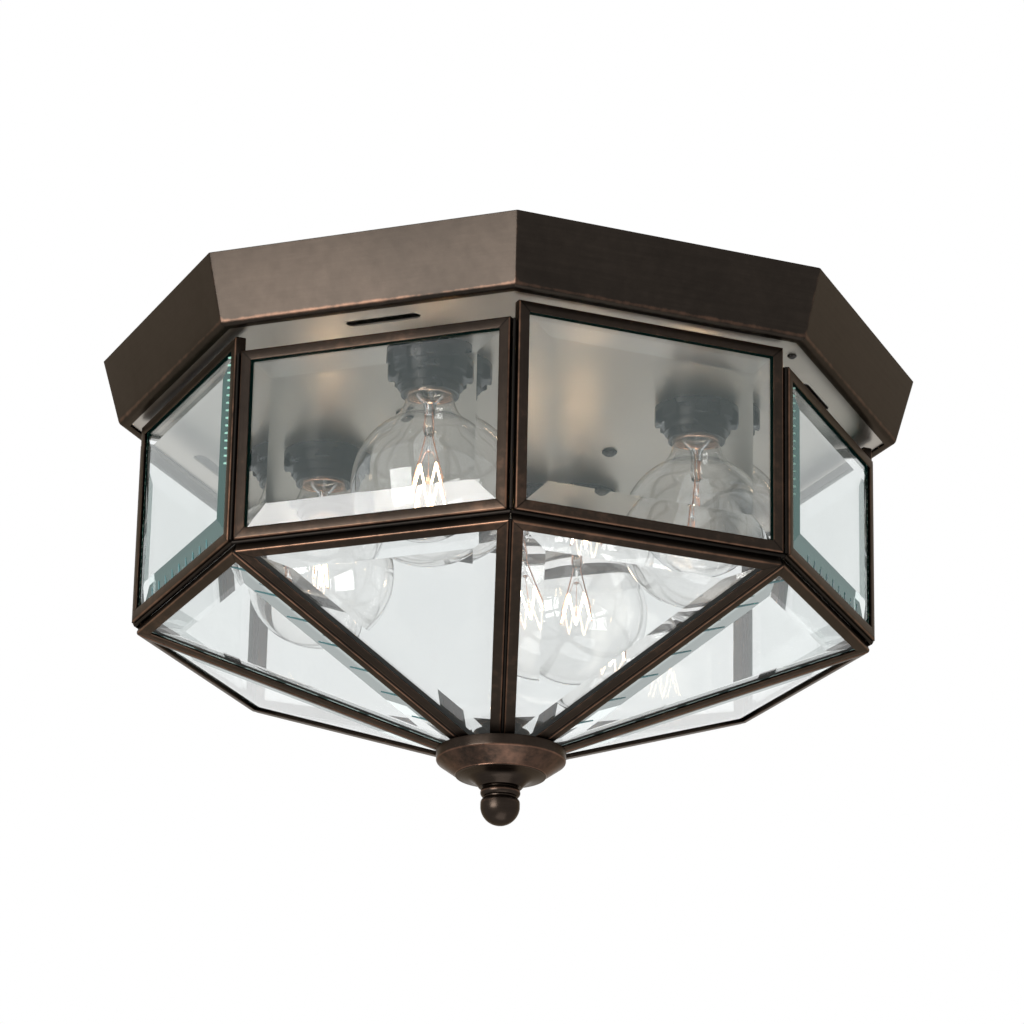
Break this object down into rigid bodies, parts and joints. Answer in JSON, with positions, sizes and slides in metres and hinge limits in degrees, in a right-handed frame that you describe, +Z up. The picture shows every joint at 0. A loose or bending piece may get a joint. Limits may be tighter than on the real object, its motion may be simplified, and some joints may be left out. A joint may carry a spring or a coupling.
{
  "type": "ceiling lantern",
  "caption": "Octagonal flush-mount porch ceiling lantern: flared bronze pan, lampholders with clear globe lamps, and a drop-down cage of bevelled glass held by a ball finial.",
  "frame": {"origin": "centre of the mounting strap's upper face, in the plane of the ceiling", "axes": "+Z up into the ceiling; -Y towards the corner of the octagon that faces the viewer of the picture; +X to that viewer's right"},
  "size_m": [0.44, 0.44, 0.2549],
  "materials": {
    "bronze": "dark bronze lacquer over sheet steel, satin, rubbed back to copper on edges",
    "frame_bronze": "antique bronze on folded channel, satin with brighter rubbed edges",
    "hub_bronze": "antique bronze, turned, satin",
    "reflector": "satin rolled reflector sheet",
    "zinc_steel": "zinc plated",
    "black_steel": "blackened steel screws and gussets",
    "rod_steel": "plated threaded rod",
    "phenolic": "moulded black phenolic, low sheen",
    "shell_brass": "bright drawn shell",
    "lead_pvc": "insulated leads and closed splice caps",
    "pane_glass": "clear, bevelled and polished",
    "bulb_glass": "clear blown glass",
    "bulb_base": "bright screw cap",
    "filament": "tungsten wire on nickel supports"
  },
  "bodies": {
    "canopy": {"canopy_shell": "bronze", "reflector_plate": "reflector", "plate_fixings": "black_steel", "mounting_strap": "zinc_steel", "mounting_screws": "black_steel", "center_rod": "rod_steel", "rod_nuts": "zinc_steel", "socket_1": "phenolic", "socket_2": "phenolic", "socket_3": "phenolic", "socket_4": "phenolic", "socket_shells": "shell_brass", "wiring": "lead_pvc"},
    "cage": {"upper_frame_1": "frame_bronze", "upper_frame_2": "frame_bronze", "upper_frame_3": "frame_bronze", "upper_frame_4": "frame_bronze", "upper_frame_5": "frame_bronze", "upper_frame_6": "frame_bronze", "upper_frame_7": "frame_bronze", "upper_frame_8": "frame_bronze", "upper_glass_1": "pane_glass", "upper_glass_2": "pane_glass", "upper_glass_3": "pane_glass", "upper_glass_4": "pane_glass", "upper_glass_5": "pane_glass", "upper_glass_6": "pane_glass", "upper_glass_7": "pane_glass", "upper_glass_8": "pane_glass", "lower_frame_1": "frame_bronze", "lower_frame_2": "frame_bronze", "lower_frame_3": "frame_bronze", "lower_frame_4": "frame_bronze", "lower_frame_5": "frame_bronze", "lower_frame_6": "frame_bronze", "lower_frame_7": "frame_bronze", "lower_frame_8": "frame_bronze", "lower_glass_1": "pane_glass", "lower_glass_2": "pane_glass", "lower_glass_3": "pane_glass", "lower_glass_4": "pane_glass", "lower_glass_5": "pane_glass", "lower_glass_6": "pane_glass", "lower_glass_7": "pane_glass", "lower_glass_8": "pane_glass", "hub_plate": "frame_bronze", "hub_cap": "hub_bronze"},
    "finial": {"finial": "hub_bronze"},
    "bulb_1": {"bulb_glass_1": "bulb_glass", "bulb_base_1": "bulb_base", "bulb_filament_1": "filament"},
    "bulb_2": {"bulb_glass_2": "bulb_glass", "bulb_base_2": "bulb_base", "bulb_filament_2": "filament"},
    "bulb_3": {"bulb_glass_3": "bulb_glass", "bulb_base_3": "bulb_base", "bulb_filament_3": "filament"},
    "bulb_4": {"bulb_glass_4": "bulb_glass", "bulb_base_4": "bulb_base", "bulb_filament_4": "filament"}
  },
  "joints": [
    {"name": "cage_drop", "type": "slide", "parent": "canopy", "child": "cage", "axis": [0, 0, -1], "range_m": [0, 0.19]},
    {"name": "finial_turn", "type": "hinge", "parent": "cage", "child": "finial", "pos_m": [0, 0, -0.2345], "axis": [0, 0, -1], "range_deg": [0, 3600]},
    {"name": "bulb_1_turn", "type": "hinge", "parent": "canopy", "child": "bulb_1", "pos_m": [-0.04095, -0.09885, -0.1], "axis": [0, 0, -1], "range_deg": [0, 1260]},
    {"name": "bulb_2_turn", "type": "hinge", "parent": "canopy", "child": "bulb_2", "pos_m": [0.09885, -0.04095, -0.1], "axis": [0, 0, -1], "range_deg": [0, 1260]},
    {"name": "bulb_3_turn", "type": "hinge", "parent": "canopy", "child": "bulb_3", "pos_m": [0.04095, 0.09885, -0.1], "axis": [0, 0, -1], "range_deg": [0, 1260]},
    {"name": "bulb_4_turn", "type": "hinge", "parent": "canopy", "child": "bulb_4", "pos_m": [-0.09885, 0.04095, -0.1], "axis": [0, 0, -1], "range_deg": [0, 1260]}
  ]
}
